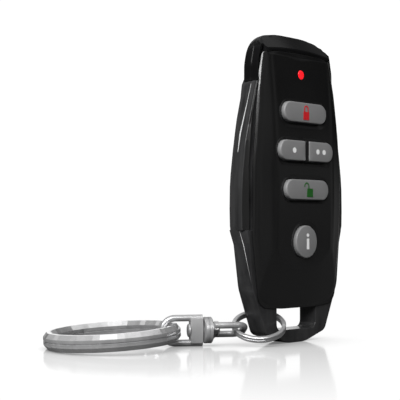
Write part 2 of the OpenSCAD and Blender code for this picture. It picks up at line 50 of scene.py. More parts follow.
head_corners = [(13.5, head_foot, 0), (13.45, 64.2, 8), (12.0, 70.8, shoulder_r), (5.0, 72.0, 20)]
hood_front = -3.53
hood_tip = -3.49
hood_corners = [(11.5, 63.8, 0), (11.6, 71.1, 2.0), (5.0, 72.0, 20)]
hood_steps = 14
hood_draw = 1.3
hood_turn = 0.98
hood_lip = 0.3
lip_rate = 5.5
brow_r = 108.0
brow_top = 67.72
brow_clear = 0.02
top_r = 85.0
top_mid = -13.0
top_fall = 3.5
side_fade = 8.0
bend_steps = 10
arch_points = 96
foot_points = 24


def between(value, low=0.0, high=1.0):
    """The value, kept from low to high."""
    return min(max(value, low), high)


def side_of(x):
    """1 on the right of the middle, -1 on the left."""
    return 1 if x > 0 else -1


def round_off(t):
    """Fall of a quarter round, from 0 at t = 0 to 1 at t = 1."""
    return 1 - sqrt(max(1 - t * t, 0.0))


def both_halves(half):
    """Corners of the right half, from the foot to the top, joined by their mirror images."""
    return list(half) + [(-x, z, r) for x, z, r in reversed(half)]


def rounded(corners, steps):
    """A chain of corners (x, z, radius) as smooth points."""
    points = []
    for i, (x, z, r) in enumerate(corners):
        here = Vector((x, z))
        if r == 0:
            points.append(here)
            continue
        back = (Vector(corners[i - 1][:2]) - here).normalized()
        ahead = (Vector(corners[(i + 1) % len(corners)][:2]) - here).normalized()
        half = acos(between(back.dot(ahead), -1.0)) / 2
        middle = here + (back + ahead).normalized() * (r / sin(half))
        start = here + back * (r / tan(half)) - middle
        end = here + ahead * (r / tan(half)) - middle
        first = atan2(start.y, start.x)
        turn = (atan2(end.y, end.x) - first + 3 * pi) % (2 * pi) - pi
        for k in range(steps + 1):
            angle = first + turn * k / steps
            points.append(middle + r * Vector((cos(angle), sin(angle))))
    return points


def even(points, count, closed=False):
    """The same line with count points at equal steps."""
    line = list(points) + ([points[0]] if closed else [])
    reach = [0.0]
    for a, b in zip(line, line[1:]):
        reach.append(reach[-1] + (b - a).length)
    spread, k = [], 0
    for i in range(count):
        want = reach[-1] * i / (count if closed else count - 1)
        while k < len(line) - 2 and reach[k + 1] < want:
            k += 1
        part = (want - reach[k]) / max(reach[k + 1] - reach[k], 1e-9)
        spread.append(line[k].lerp(line[k + 1], min(part, 1.0)))
    return spread


def map_range(tree, value, span, result, steps="LINEAR"):
    """Takes a value of a node tree from one span of numbers to another."""
    node = tree.nodes.new("ShaderNodeMapRange")
    node.interpolation_type = steps
    for label, number in zip(("From Min", "From Max", "To Min", "To Max"), (*span, *result)):
        node.inputs[label].default_value = number
    tree.links.new(value, node.inputs["Value"])
    return node.outputs["Result"]


cloud_span = (0.3, 0.7)
# Pointiness span of sharp edges lightened as wear and painted highlight, and the tone of painted highlight
# lines
edge_span = (0.52, 0.62)
highlight_line_tone = (0.5, 0.5, 0.5)


def surface_group():
    """Shared surface effect: slow clouding, fine grain, a mask of sharp edges lightened as wear and painted
    highlight, and a mask of painted highlight lines.
    """
    group = bpy.data.node_groups.new("moulded surface", "ShaderNodeTree")
    for label in ("Cloud scale", "Grain scale", "Stretch"):
        group.interface.new_socket(label, in_out="INPUT", socket_type="NodeSocketFloat")
    for label in ("Cloud", "Grain", "Edge", "Highlight"):
        group.interface.new_socket(label, in_out="OUTPUT", socket_type="NodeSocketFloat")
    node, link = group.nodes.new, group.links.new
    into, out = node("NodeGroupInput"), node("NodeGroupOutput")
    place = node("ShaderNodeTexCoord")
    reach = node("ShaderNodeCombineXYZ")
    reach.inputs["X"].default_value = 1.0
    reach.inputs["Y"].default_value = 1.0
    link(into.outputs["Stretch"], reach.inputs["Z"])
    drawn = node("ShaderNodeVectorMath")
    drawn.operation = "MULTIPLY"
    link(place.outputs["Object"], drawn.inputs[0])
    link(reach.outputs["Vector"], drawn.inputs[1])
    for label, detail in (("Cloud", 5.0), ("Grain", 2.0)):
        noise = node("ShaderNodeTexNoise")
        noise.inputs["Detail"].default_value = detail
        link(drawn.outputs["Vector"], noise.inputs["Vector"])
        link(into.outputs[label + " scale"], noise.inputs["Scale"])
        link(noise.outputs["Fac"], out.inputs[label])
    shape = node("ShaderNodeNewGeometry")
    link(map_range(group, shape.outputs["Pointiness"], span=edge_span, result=(0.0, 1.0)), out.inputs["Edge"])
    highlight_marks = node("ShaderNodeAttribute")
    highlight_marks.attribute_name = "painted_highlight"
    link(highlight_marks.outputs["Fac"], out.inputs["Highlight"])
    return group


surface = surface_group()


def grey(tone, blue=None):
    """A grey, with its blue part where that differs."""
    return tone, tone, tone if blue is None else blue


def finish(name, dark, light, rough, cloud, grain, bump, wear_and_highlight=None, metal=0.0, shine=0.5, depth=0.02,
           stretch=1.0):
    """A material with clouded colour and roughness, fine grain, edges lightened as wear and painted
    highlight, and painted highlight lines.
    """
    look = bpy.data.materials.new(name)
    look.use_nodes = True
    tree = look.node_tree
    node, link = tree.nodes.new, tree.links.new
    shader = tree.nodes["Principled BSDF"]
    shader.inputs["Metallic"].default_value = metal
    shader.inputs["Specular IOR Level"].default_value = shine
    effect = node("ShaderNodeGroup")
    effect.node_tree = surface
    for label, value in (("Cloud scale", cloud), ("Grain scale", grain), ("Stretch", stretch)):
        effect.inputs[label].default_value = value
    tone = node("ShaderNodeValToRGB")
    for stop, position, colour in zip(tone.color_ramp.elements, cloud_span, (dark, light)):
        stop.position = position
        stop.color = (*colour, 1)
    link(effect.outputs["Cloud"], tone.inputs["Fac"])
    under = tone.outputs["Color"]
    # Sharp edges take the edge colour, partly wear and partly painted highlight; marked lines take a painted
    # highlight tone
    for mask, colour in (("Edge", wear_and_highlight or light), ("Highlight", highlight_line_tone)):
        painted_highlight = node("ShaderNodeMix")
        painted_highlight.data_type = "RGBA"
        link(effect.outputs[mask], painted_highlight.inputs["Factor"])
        link(under, painted_highlight.inputs["A"])
        painted_highlight.inputs["B"].default_value = (*colour, 1)
        under = painted_highlight.outputs["Result"]
    link(under, shader.inputs["Base Color"])
    link(map_range(tree, effect.outputs["Cloud"], cloud_span, rough), shader.inputs["Roughness"])
    relief = node("ShaderNodeBump")
    relief.inputs["Strength"].default_value = bump
    relief.inputs["Distance"].default_value = depth * mm
    link(effect.outputs["Grain"], relief.inputs["Height"])
    link(relief.outputs["Normal"], shader.inputs["Normal"])
    return look


def stacked(rings, start=True, end=True):
    """Corner points and faces of a skin through rings of equal length, closed at start and end."""
    n = len(rings[0])
    faces = []
    for k in range(len(rings) - 1):
        for i in range(n):
            j = (i + 1) % n
            faces.append((k * n + i, k * n + j, (k + 1) * n + j, (k + 1) * n + i))
    if start:
        faces.append(tuple(range(n)))
    if end:
        faces.append(tuple((len(rings) - 1) * n + i for i in range(n)))
    return [p for ring in rings for p in ring], faces


def smooth(mesh, crease):
    """Shades a mesh smooth, but for edges sharper than the crease angle."""
    for face in mesh.polygons:
        face.use_smooth = True
    mesh.set_sharp_from_angle(angle=radians(crease))


def solid(name, skin, crease=32):
    """A mesh object from points in millimetres, smooth up to the crease angle."""
    points, faces = skin
    mesh = bpy.data.meshes.new(name)
    mesh.from_pydata([Vector(p) * mm for p in points], [], faces)
    work = bmesh.new()
    work.from_mesh(mesh)
    bmesh.ops.remove_doubles(work, verts=work.verts, dist=weld * mm)
    bmesh.ops.recalc_face_normals(work, faces=work.faces)
    work.to_mesh(mesh)
    work.free()
    smooth(mesh, crease)
    thing = bpy.data.objects.new(name, mesh)
    bpy.context.scene.collection.objects.link(thing)
    return thing


def settle(thing, look, body, *nodes):
    """Gives a piece its material and its body, and lets it stand for its CAD nodes."""
    thing.data.materials.clear()
    thing.data.materials.append(look)
    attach(thing, body)
    if nodes:
        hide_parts(*nodes)


def brow(x):
    """Height of the hood's arched lower edge at x."""
    return brow_top - brow_r + sqrt(brow_r ** 2 - x * x)


def head_ring(y, corners, inset=0.0, arched=False, lip=0.0):
    """One slice of the head at depth y: its arch, lowered by lip, then its lower edge."""
    arch = rounded(both_halves(corners), bend_steps)
    if arched:
        arch = [p for p in arch if p.y > brow(p.x) + brow_clear]
        end = arch[0].x
        arch = [Vector((end, brow(end)))] + arch + [Vector((-end, brow(end)))]
    r = top_r - top_fall * (shell_seam - y) / (shell_seam - hood_front)
    ring = []
    for p in even(arch, arch_points):
        x = p.x - inset * side_of(p.x) * min(1.0, abs(p.x) / side_fade)
        ring.append((x, y, min(p.y, top_mid + sqrt(r * r - x * x) - lip)))
    edge = ring[-1][0]
    for i in range(1, foot_points):
        x = edge - 2 * edge * i / foot_points
        ring.append((x, y, brow(x) if arched else head_foot))
    return ring


head_rings = [head_ring(shell_seam, head_corners, seam_inset)]
head_rings += [head_ring(y, head_corners) for y in head_slices]
for k in range(hood_steps + 1):
    part = 1 - (1 - k / hood_steps) ** 2
    y = head_front + (hood_tip - head_front) * part
    drawn = hood_draw * round_off(hood_turn * part)
    lip = hood_lip * round_off(max(0.0, 1 - lip_rate * (1 - part)))
    head_rings.append(head_ring(y, hood_corners, drawn, True, lip))
head = solid("mid_housing_shell", stacked(head_rings), crease=40)
gloss_black = finish("gloss black ABS", dark=grey(0.003, 0.0031), light=grey(0.004, 0.0042),
                     rough=(0.14, 0.2), cloud=90, grain=3000, bump=0.02, wear_and_highlight=grey(0.006), shine=0.06)
settle(head, gloss_black, "case", "mid_housing")

# Front cover
# The gloss black face, a curved moulding in polished ABS. Its edges roll off to a dark groove,
# and a crescent ramp turns its chin down. Keys and lamp come through openings with moats.
face_y = -4.20
rim_y = -2.82
rim_w = 0.9
rim_step = 0.4
cover_back = -2.75
crown_top = -5.30
crown_r = 275.0
crown_z = 36.0
strip_half = 10.4
strip_ease = 1.3
side_slope = 0.331
roll_w = 1.9
roll_h = 0.6
roll_least = 0.01
roll_top = 67.5
roll_fade = 0.8
roll_stub = 0.1
roll_steps = 14
ramp_mid = 34.2
ramp_r = 19.9
ramp_slope = 0.177
ramp_ease = 0.06
cheek_foot = 60.0
cheek_run = 4.0
cheek_lift = 0.2
cheek_w = 0.12
cover_corners = [(6.0, 8.1, 30), (13.7, 8.8, 3.4), (15.7, 24.5, 30), (15.75, 41.0, 45),
                 (13.9, 58.6, 20), (12.05, 67.0, 0.5), (5.9, 67.64, 95)]
cover_heart = (25.0, 63.0)
cover_bends = 24
cover_points = 211
cover_steps = 26
key_w, key_h, pair_w, divider, info_d = 15.3, 4.65, 19.1, 1.3, 7.6
lock_z, pair_z, unlock_z, info_z, lamp_z = 53.6, 44.6, 35.6, 23.5, 62.6
divider_r = 0.35
key_gap = 0.12
key_bends = 14
lamp_d = 2.1
lamp_gap = 0.05
moat_levels = [(-0.6, 1.9), (0.2, 0.55)]
cut_past = 1.0
through = (crown_top - cut_past, cover_back + cut_past)
rib_half = 0.5
rib_proud = 0.75
rib_past = 0.1
rib_r = 0.1
rib_edge = [(0.15, 0.0), (0.05, 0.04), (0.0, 0.14)]


def eased(d, w):
    """A ramp that starts at d = 0, rounded over w on both sides."""
    if d < -w:
        return 0.0
    return d if d > w else (d + w) ** 2 / (4 * w)


def swell(z):
    """How far the crowned face falls back at height z."""
    return crown_r - sqrt(crown_r ** 2 - (z - crown_z) ** 2)


def cheek(z):
    """Grows from 0 to 1 where the cover's rim runs on into the edge of the head."""
    return between((z - cheek_foot) / cheek_run)


def cover_depth(x, z, edge):
    """Depth of the cover's face, edge being the way to the rim."""
    front = crown_top + swell(z) + side_slope * eased(abs(x) - strip_half, strip_ease)
    chin = face_y + ramp_slope * (hypot(x, min(z - ramp_mid, 0)) - ramp_r)
    front += eased(chin - front, ramp_ease)
    rim = rim_y + cheek_lift * cheek(z)
    deep = roll_h + (max(min(roll_h, rim - front), roll_least) - roll_h) * cheek(z)
    deep *= between((roll_top - z) / roll_fade, roll_stub)
    wide = roll_w * deep / roll_h
    if edge < wide:
        front += deep * round_off(1 - edge / wide)
    return min(front, rim)


def drawn_in(line, d):
    """A closed line moved inwards by d, its points kept."""
    inner, sharpest = [], 0.35
    for i, p in enumerate(line):
        a, b = line[i - 1], line[(i + 1) % len(line)]
        u, v = (p - a).normalized(), (b - p).normalized()
        nu, nv = Vector((-u.y, u.x)), Vector((-v.y, v.x))
        inner.append(p + (nu + nv) * (d / max(1 + nu.dot(nv), sharpest)))
    return inner


def at_depth(line, y):
    """An outline as points at depth y."""
    return [(p.x, y, p.y) for p in line]


def built_up(levels):
    """A skin through flat outlines, given as (depth, outline)."""
    return stacked([at_depth(line, y) for y, line in levels])


def face_rings(rim, heart, edge_w, edge_steps, steps, depth):
    """Rings from a rim to the middle line of the case, close together where the edge rolls."""
    ways = [edge_w * (1 - cos(a * pi / (2 * edge_steps))) for a in range(edge_steps + 1)]
    rings = []
    for k in range(edge_steps + 1 + steps):
        ring = []
        for p in rim:
            middle = Vector((0, between(p.y, *heart)))
            reach = (p - middle).length
            way = ways[k] if k <= edge_steps else edge_w + (reach - edge_w) * ((k - edge_steps) / steps)
            at = p.lerp(middle, way / reach)
            ring.append((at.x, depth(at.x, at.y, way), at.y))
        rings.append(ring)
    return rings


def cover_skin():
    """The cover from its back ring over the rim to the middle of its face."""
    line = rounded(both_halves(cover_corners), cover_bends)
    foot, top = Vector((0, cover_corners[0][1])), Vector((0, cover_corners[-1][1]))
    half = even([foot] + line[:len(line) // 2] + [top], cover_points)
    rim = half + [Vector((-p.x, p.y)) for p in reversed(half[1:-1])]
    rings = [at_depth(drawn_in(rim, rim_w), cover_back + rim_step)]
    rings.append([(p.x + side_of(p.x) * cheek_w * cheek(p.y), cover_back + rim_step * cheek(p.y), p.y)
                  for p in rim])
    rings += face_rings(rim, cover_heart, roll_w, roll_steps, cover_steps, cover_depth)
    return stacked(rings, end=False)


def pill(left, right, z, h, left_r=None, right_r=None, inset=0.0):
    """Outline of a key: a bar with rounded ends, drawn in by inset."""
    least_r, straight = 0.03, 0.002
    low, high = z - h / 2 + inset, z + h / 2 - inset
    left, right = left + inset, right - inset
    ends = []
    for r in (left_r, right_r):
        r = h / 2 - straight if r is None else r
        ends.append(min(max(r - inset, least_r), (high - low) / 2 - straight))
    return rounded([(right, low, ends[1]), (right, high, ends[1]), (left, high, ends[0]),
                    (left, low, ends[0])], key_bends)


def rectangle(x0, x1, z0, z1, r, steps=4):
    """Outline of a rectangle with rounded corners."""
    return rounded([(x1, z0, r), (x1, z1, r), (x0, z1, r), (x0, z0, r)], steps)


def plug(name, levels):
    """A cutting block from (depth, outline) levels."""
    return solid(name, built_up(levels))


def cut(thing, block, crease=32):
    """Takes block out of thing."""
    change = thing.modifiers.new("opening", "BOOLEAN")
    change.operation, change.solver, change.object = "DIFFERENCE", "EXACT", block
    bpy.context.view_layer.update()
    made = thing.evaluated_get(bpy.context.evaluated_depsgraph_get())
    mesh = bpy.data.meshes.new_from_object(made)
    thing.modifiers.clear()
    thing.data = mesh
    smooth(mesh, crease)
    bpy.data.objects.remove(block)


# Left, right, height of the middle, size upwards, and the end radii where they aren't half rounds
key_shapes = {
    "lock_key": (-key_w / 2, key_w / 2, lock_z, key_h, None, None),
    "unlock_key": (-key_w / 2, key_w / 2, unlock_z, key_h, None, None),
    "one_dot_key": (-pair_w / 2, -divider / 2, pair_z, key_h, None, divider_r),
    "two_dot_key": (divider / 2, pair_w / 2, pair_z, key_h, divider_r, None),
    "info_key": (-info_d / 2, info_d / 2, info_z, info_d, None, None)}
moats = [key_shapes["lock_key"], key_shapes["unlock_key"], key_shapes["info_key"],
         (-pair_w / 2, pair_w / 2, pair_z, key_h, None, None)]
cover = solid("front_cover_face", cover_skin(), crease=30)
for shape in moats:
    level = crown_top + swell(shape[2])
    cut(cover, plug("moat", [(level + y, pill(*shape, inset=-g)) for y, g in moat_levels]))
for shape in key_shapes.values():
    cut(cover, plug("key opening", [(y, pill(*shape, inset=-key_gap)) for y in through]))
lamp_hole = pill(-lamp_d / 2, lamp_d / 2, lamp_z, lamp_d, inset=-lamp_gap)
cut(cover, plug("lamp opening", [(y, lamp_hole) for y in through]))
piano_black = finish("polished black face", dark=grey(0.0046, 0.0047), light=grey(0.0056, 0.0057),
                     rough=(0.16, 0.22), cloud=60, grain=2500, bump=0.01, wear_and_highlight=grey(0.006), shine=0.4)
settle(cover, piano_black, "case", "front_cover")
rib_front = crown_top + swell(pair_z) - rib_proud
rib_low, rib_high = pair_z - key_h / 2 - rib_past, pair_z + key_h / 2 + rib_past
rib_levels = [(cover_back, 0.0)] + [(rib_front + y, g) for y, g in rib_edge]
rib = solid("front_cover_rib", built_up(
    [(y, rectangle(g - rib_half, rib_half - g, rib_low + g, rib_high - g, rib_r, 3))
     for y, g in rib_levels]), crease=40)
settle(rib, piano_black, "case")

# Keys
# Five satin grey keys with rounded edges and slightly crowned faces, moulded in hard plastic.
# A flange behind the cover holds each one in, and each slides straight back when pressed.
key_proud = 0.90
key_back = -2.40
flange_front = -2.95
flange_w = 0.5
key_edge = 0.3
key_steps = 8
key_core = 0.06
key_crown = 0.1
info_crown = 0.22
grey_key = finish("satin grey key", dark=grey(0.135, 0.136), light=grey(0.158, 0.159), rough=(0.4, 0.5),
                  cloud=120, grain=16000, bump=0.1, wear_and_highlight=grey(0.15), shine=0.3)


def key_front(z):
    """Depth of the face of the key whose middle is at height z."""
    return crown_top + swell(z) - key_proud


def key_skin(shape, crown):
    """A key from its flange over the rounded edge to the middle of its face."""
    front = key_front(shape[2])
    levels = [(key_back, -flange_w), (flange_front, -flange_w), (flange_front, 0.0),
              (front + key_edge + crown, 0.0)]
    for a in range(1, key_steps + 1):
        angle = a * pi / (2 * key_steps)
        levels.append((front + crown + key_edge * (1 - sin(angle)), key_edge * (1 - cos(angle))))
    deep = shape[3] / 2 - key_core
    for k in range(1, key_steps + 1):
        part = k / key_steps
        levels.append((front + crown * (1 - part) ** 2, key_edge + (deep - key_edge) * part))
    return built_up([(y, pill(*shape, inset=g)) for y, g in levels])


for name, shape in key_shapes.items():
    key = solid(name + "_cap", key_skin(shape, info_crown if name == "info_key" else key_crown), crease=40)
    settle(key, grey_key, name, name)

# Key signs
# Printed signs on the keys: a closed padlock in red, an open one in green, one and two white
# dots and a white letter i. Each is a thin film of paint that moves with its key.
paint_t = 0.03
paint_sink = 0.05
# Padlock bodies as left, right, foot and top, and bows as middle, two feet, half width, wire and top
closed_body, closed_bow = (-1.1, 0.95, -1.65, 0.2), (-0.07, 0.1, 0.1, 0.8, 0.3, 1.7)
open_body, open_bow = (-0.55, 1.55, -1.65, 0.3), (-0.65, 0.1, 0.6, 0.9, 0.32, 1.7)
padlock_r = 0.12
bow_steps = 16
one_dot_x, one_dot_d = -4.9, 1.25
two_dot_x, two_dot_d = (3.65, 5.95), 1.2
stem_left, stem_right, stem_foot, stem_top, stem_r = -0.35, 0.5, -1.75, 0.75, 0.08
dot_x, dot_z, dot_d = 0.07, 1.55, 0.8


def disc(x, z, d, count=40):
    """Outline of a circle."""
    return [Vector((x + d / 2 * cos(2 * pi * i / count), z + d / 2 * sin(2 * pi * i / count)))
            for i in range(count)]


def shackle(x, foot, free, outer, thick, top):
    """The bow of a padlock: a leg at the right from foot, an arch, a leg at the left from free."""
    rise, inner = top - outer, outer - thick
    arch = [(cos(a * pi / bow_steps), sin(a * pi / bow_steps)) for a in range(bow_steps + 1)]
    line = [Vector((x + outer, foot))] + [Vector((x + outer * c, rise + outer * s)) for c, s in arch]
    line += [Vector((x - outer, free)), Vector((x - inner, free))]
    line += [Vector((x + inner * c, rise + inner * s)) for c, s in reversed(arch)]
    return line + [Vector((x + inner, foot))]


def padlock(z, body, bow):
    """Outlines of a padlock on the key at height z."""
    left, right, low, high = body
    x, foot, free, outer, thick, top = bow
    return [rectangle(left, right, z + low, z + high, padlock_r),
            shackle(x, z + foot, z + free, outer, thick, z + top)]


def joined(*skins):
    """Several skins as one."""
    points, faces = [], []
    for p, f in skins:
        faces += [tuple(i + len(points) for i in face) for face in f]
        points += list(p)
    return points, faces


def sign(name, body, outlines, look):
    """Thin raised film with these outlines on the face of a key."""
    front = key_front(key_shapes[body][2])
    film = solid(name, joined(*[built_up([(front + paint_sink, line), (front - paint_t, line)])
                                for line in outlines]), crease=30)
    settle(film, look, body)


red_paint = finish("red paint", dark=(0.34, 0.002, 0.006), light=(0.42, 0.004, 0.008), rough=(0.45, 0.6),
                   cloud=900, grain=20000, bump=0.1)
green_paint = finish("green paint", dark=(0.002, 0.05, 0.002), light=(0.004, 0.07, 0.004),
                     rough=(0.45, 0.6), cloud=900, grain=20000, bump=0.1)
white_paint = finish("white paint", dark=grey(0.55), light=grey(0.66), rough=(0.4, 0.55), cloud=900,
                     grain=20000, bump=0.1)
sign("closed_padlock_sign", "lock_key", padlock(lock_z, closed_body, closed_bow), red_paint)
sign("open_padlock_sign", "unlock_key", padlock(unlock_z, open_body, open_bow), green_paint)
sign("one_dot_sign", "one_dot_key", [disc(one_dot_x, pair_z, one_dot_d)], white_paint)
sign("two_dot_sign", "two_dot_key", [disc(x, pair_z, two_dot_d) for x in two_dot_x], white_paint)
sign("letter_i_sign", "info_key",
     [rectangle(stem_left, stem_right, info_z + stem_foot, info_z + stem_top, stem_r),
      disc(dot_x, info_z + dot_z, dot_d)], white_paint)

# Status lamp
# A clear red light pipe, moulded in polycarbonate, held behind the cover by its flange. It is
# lit from behind, so its clouded red also glows.
lens_proud = 0.15
lens_back = -2.30
lens_flange = -2.95
lens_flange_r = 1.6
lens_r = 1.05
lens_flat_r = 0.6
lens_edge = 0.25
lens_cap = [(-0.02, 0.3), (-0.03, 0.06)]
lens_steps = 8
lens_sides = 48
lens_glow = 0.85
lens_front = crown_top + swell(lamp_z) - lens_proud
lens_levels = [(lens_back, lens_flange_r), (lens_flange, lens_flange_r), (lens_flange, lens_r),
               (lens_front + lens_edge, lens_r)]
for a in range(1, lens_steps + 1):
    angle = a * pi / (2 * lens_steps)
    lens_levels.append((lens_front + lens_edge * (1 - sin(angle)),
                        lens_flat_r + (lens_r - lens_flat_r) * cos(angle)))
lens_levels += [(lens_front + y, r) for y, r in lens_cap]
lens_skin = built_up([(y, disc(0, lamp_z, 2 * r, lens_sides)) for y, r in lens_levels])
lens = solid("lamp_lens_pipe", lens_skin, crease=40)
lamp_red = finish("lit red lens", dark=(0.7, 0.004, 0.009), light=(0.95, 0.012, 0.018), rough=(0.12, 0.2),
                  cloud=700, grain=9000, bump=0.03)
lamp_shader = lamp_red.node_tree.nodes["Principled BSDF"]
lamp_cloud = lamp_red.node_tree.nodes["Color Ramp"]
lamp_red.node_tree.links.new(lamp_cloud.outputs["Color"], lamp_shader.inputs["Emission Color"])
lamp_shader.inputs["Emission Strength"].default_value = lens_glow
settle(lens, lamp_red, "case", "lamp_lens")

# Keypad mat, domes and seal
# A moulded sheet of grey silicone springs the keys over five pressed steel domes, and a thin
# ring of black rubber lies in the seam of the case.
grey_silicone = finish("grey silicone", dark=grey(0.16), light=grey(0.2), rough=(0.6, 0.75), cloud=200,
                       grain=6000, bump=0.2)
black_rubber = finish("black rubber", dark=grey(0.012), light=grey(0.022), rough=(0.65, 0.8), cloud=300,
                      grain=8000, bump=0.3)
dome_steel = finish("pressed steel", dark=grey(0.5), light=grey(0.62, 0.61), rough=(0.18, 0.3), cloud=400,
                    grain=9000, bump=0.1, metal=1.0)


def dress(look, *names):
    """Gives CAD nodes that keep their shape a material."""
    for name in names:
        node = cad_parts[name]
        node.data.materials.clear()
        node.data.materials.append(look)


dress(grey_silicone, "keypad_mat")
dress(black_rubber, "case_gasket")
dress(dome_steel, "snap_domes")

# Circuit board and its parts
# A green glass-epoxy board with two moulded chips, a canned crystal, small ceramic parts, an
# etched copper antenna loop and a white diode, all soldered in place.
board_green = finish("solder mask", dark=(0.006, 0.05, 0.022), light=(0.01, 0.075, 0.032),
                     rough=(0.25, 0.4), cloud=300, grain=5000, bump=0.15, wear_and_highlight=(0.2, 0.17, 0.08))
chip_black = finish("moulded epoxy", dark=grey(0.012, 0.013), light=grey(0.02, 0.021), rough=(0.5, 0.65),
                    cloud=900, grain=15000, bump=0.3)
can_metal = finish("tinned can", dark=grey(0.5, 0.48), light=grey(0.6, 0.58), rough=(0.2, 0.35), cloud=700,
                   grain=9000, bump=0.1, metal=1.0)
ceramic = finish("fired ceramic", dark=(0.26, 0.2, 0.13), light=(0.36, 0.29, 0.2), rough=(0.4, 0.6),
                 cloud=1500, grain=9000, bump=0.2)
copper = finish("etched copper", dark=(0.5, 0.22, 0.1), light=(0.62, 0.3, 0.15), rough=(0.25, 0.4),
                cloud=600, grain=8000, bump=0.15, metal=1.0)
diode_white = finish("diode body", dark=(0.6, 0.58, 0.52), light=(0.7, 0.68, 0.62), rough=(0.3, 0.45),
                     cloud=1200, grain=9000, bump=0.1)
dress(board_green, "circuit_board")
dress(chip_black, "controller_chip", "radio_chip")
dress(can_metal, "crystal")
dress(ceramic, "chip_parts")
dress(copper, "antenna")
dress(diode_white, "status_led")

# Coin cell, cradle and contacts
# A steel coin cell lies in a black cradle on the back of the board, between two gold plated
# spring contacts.
cell_steel = finish("drawn cell steel", dark=grey(0.55), light=grey(0.66, 0.65), rough=(0.2, 0.32),
                    cloud=150, grain=12000, bump=0.12, metal=1.0)
cradle_black = finish("cradle plastic", dark=grey(0.016, 0.017), light=grey(0.026, 0.027),
                      rough=(0.4, 0.55), cloud=200, grain=9000, bump=0.2)
gold_plate = finish("gold plate", dark=(0.7, 0.5, 0.2), light=(0.8, 0.58, 0.25), rough=(0.2, 0.3),
                    cloud=400, grain=9000, bump=0.1, metal=1.0)
dress(cell_steel, "coin_cell")
dress(cradle_black, "cell_holder")
dress(gold_plate, "negative_contact", "positive_contact")

# Rear cover
# The satin black back of the case, a moulded tub with sloped sides and rounded ends. Four
# screws hold it from recesses near its corners, and its head is polished to match the hood.
rear_y = 5.60
rear_rim = 2.62
rear_lip = 0.15
rear_half = 7.9
rear_slope = 0.305
rear_ease = 1.2
end_slope = 0.42
rear_high = 40.7
rear_round_w = 0.8
rear_round_h = 0.5
rear_corners = [(6.0, 9.6, 28), (12.2, 10.2, 2.4), (14.2, 24.5, 28), (14.25, 41.0, 43), (12.3, 57.6, 28),
                (10.0, 66.5, 2.5)]
rear_heart = (25.0, 56.0)
rear_bends = 16
rear_points = 300
rear_edge_steps = 8
rear_steps = 20
screw_places = [(s * x, z) for s in (-1, 1) for x, z in ((10.2, 17.5), (8.4, 61.5))]
recess_floor = 2.0
recess_d = 2.84
head_back = 2.00
neck_start = shell_seam + 0.05
neck_levels = [(-0.28, 0.0), (0.5, 0.0), (1.5, 0.0), (1.8, 0.04), (1.93, 0.14), (head_back, 0.3)]
neck_top = 70.0
neck_drop = 0.5


def rear_depth(x, z, edge):
    """Depth of the back, edge being the way to its rim."""
    fall = max(rear_slope * eased(abs(x) - rear_half, rear_ease),
               end_slope * eased(hypot(x, min(z - ramp_mid, 0)) - ramp_r, rear_ease),
               end_slope * eased(hypot(x, max(z - rear_high, 0)) - ramp_r, rear_ease))
    if edge < rear_round_w:
        fall += rear_round_h * round_off(1 - edge / rear_round_w)
    return rear_y - min(fall, rear_y - rear_rim - rear_lip)


rear_line = even(rounded(both_halves(rear_corners), rear_bends), rear_points, closed=True)
rear_rings = [at_depth(rear_line, rear_rim)]
rear_rings += face_rings(rear_line, rear_heart, rear_round_w, rear_edge_steps, rear_steps, rear_depth)
rear = solid("rear_cover_back", stacked(rear_rings, end=False), crease=40)
for x, z in screw_places:
    recess = disc(x, z, recess_d)
    cut(rear, plug("screw recess", [(recess_floor, recess), (rear_y + cut_past, recess)]), crease=40)
satin_black = finish("satin black ABS", dark=grey(0.004, 0.0042), light=grey(0.0065, 0.0068),
                     rough=(0.26, 0.36), cloud=120, grain=12000, bump=0.15, wear_and_highlight=grey(0.014), shine=0.3)
settle(rear, satin_black, "case", "rear_cover")
neck_rings = [head_ring(neck_start, head_corners, seam_inset)]
for y, inset in neck_levels:
    corners = [(x, z, r + (y - shell_seam) if r == shoulder_r else r) for x, z, r in head_corners]
    ring = head_ring(min(y, shell_seam), corners, inset)
    neck_rings.append([(x, y, z - neck_drop * inset * (z > neck_top)) for x, _, z in ring])
neck = solid("rear_cover_head", stacked(neck_rings), crease=40)
settle(neck, gloss_black, "case")

# Case screws
# Four small cross-head screws of zinc plated steel, driven from behind through the rear cover
# into the bosses of the case.
screw_zinc = finish("zinc plate", dark=grey(0.4, 0.39), light=grey(0.52, 0.5), rough=(0.25, 0.4),
                    cloud=800, grain=14000, bump=0.15, metal=1.0)
dress(screw_zinc, "case_screws")

# Loop frame
# The dark grey U frame round the case, moulded in glass filled nylon. Its bottom stands open
# as the key loop, and its slim legs carry the grips. The front edge of each leg has a crease
# with a painted highlight line along its middle.
frame_corners = [(3.2, 0.0, 10), (10.6, 2.3, 2.2), (15.3, 13.1, 8), (16.8, 23.0, 5), (17.8, 26.25, 0),
                 (15.38, 26.25, 0), (15.4, 41.0, 45), (13.45, 58.0, 30), (12.95, 60.3, 0), (11.6, 60.3, 0),
                 (12.1, 58.0, 30), (14.05, 41.0, 45), (14.0, 24.5, 30), (12.0, 10.5, 1.7), (7.0, 9.9, 0.3),
                 (7.0, 3.1, 1.5)]
crease_y = -2.28
crease_back = 1.7
crease_foot = 15.0
crease_run = 10.4
# Slices (depth, inset, wedge depth, wedge inset) from the front face back
frame_levels = [(-2.5, 0.2, 0.0, 0.55), (-2.42, 0.06, 0.05, 0.54), (-2.36, 0.02, 1.62, 0.04),
                (crease_y, 0.0, crease_back, 0.0), (-2.2, 0.0, crease_back, 0.0), (1.9, 0.0, 0.0, 0.0),
                (2.28, 0.0, 0.0, 0.28), (2.42, 0.06, 0.0, 0.38), (2.5, 0.2, 0.0, 0.4)]
leg_x = 9.5
leg_lean = 0.27
leg_top = 26.3
chamfer_foot = 6.0
chamfer_run = 8.0
chamfer_fade = 4.0
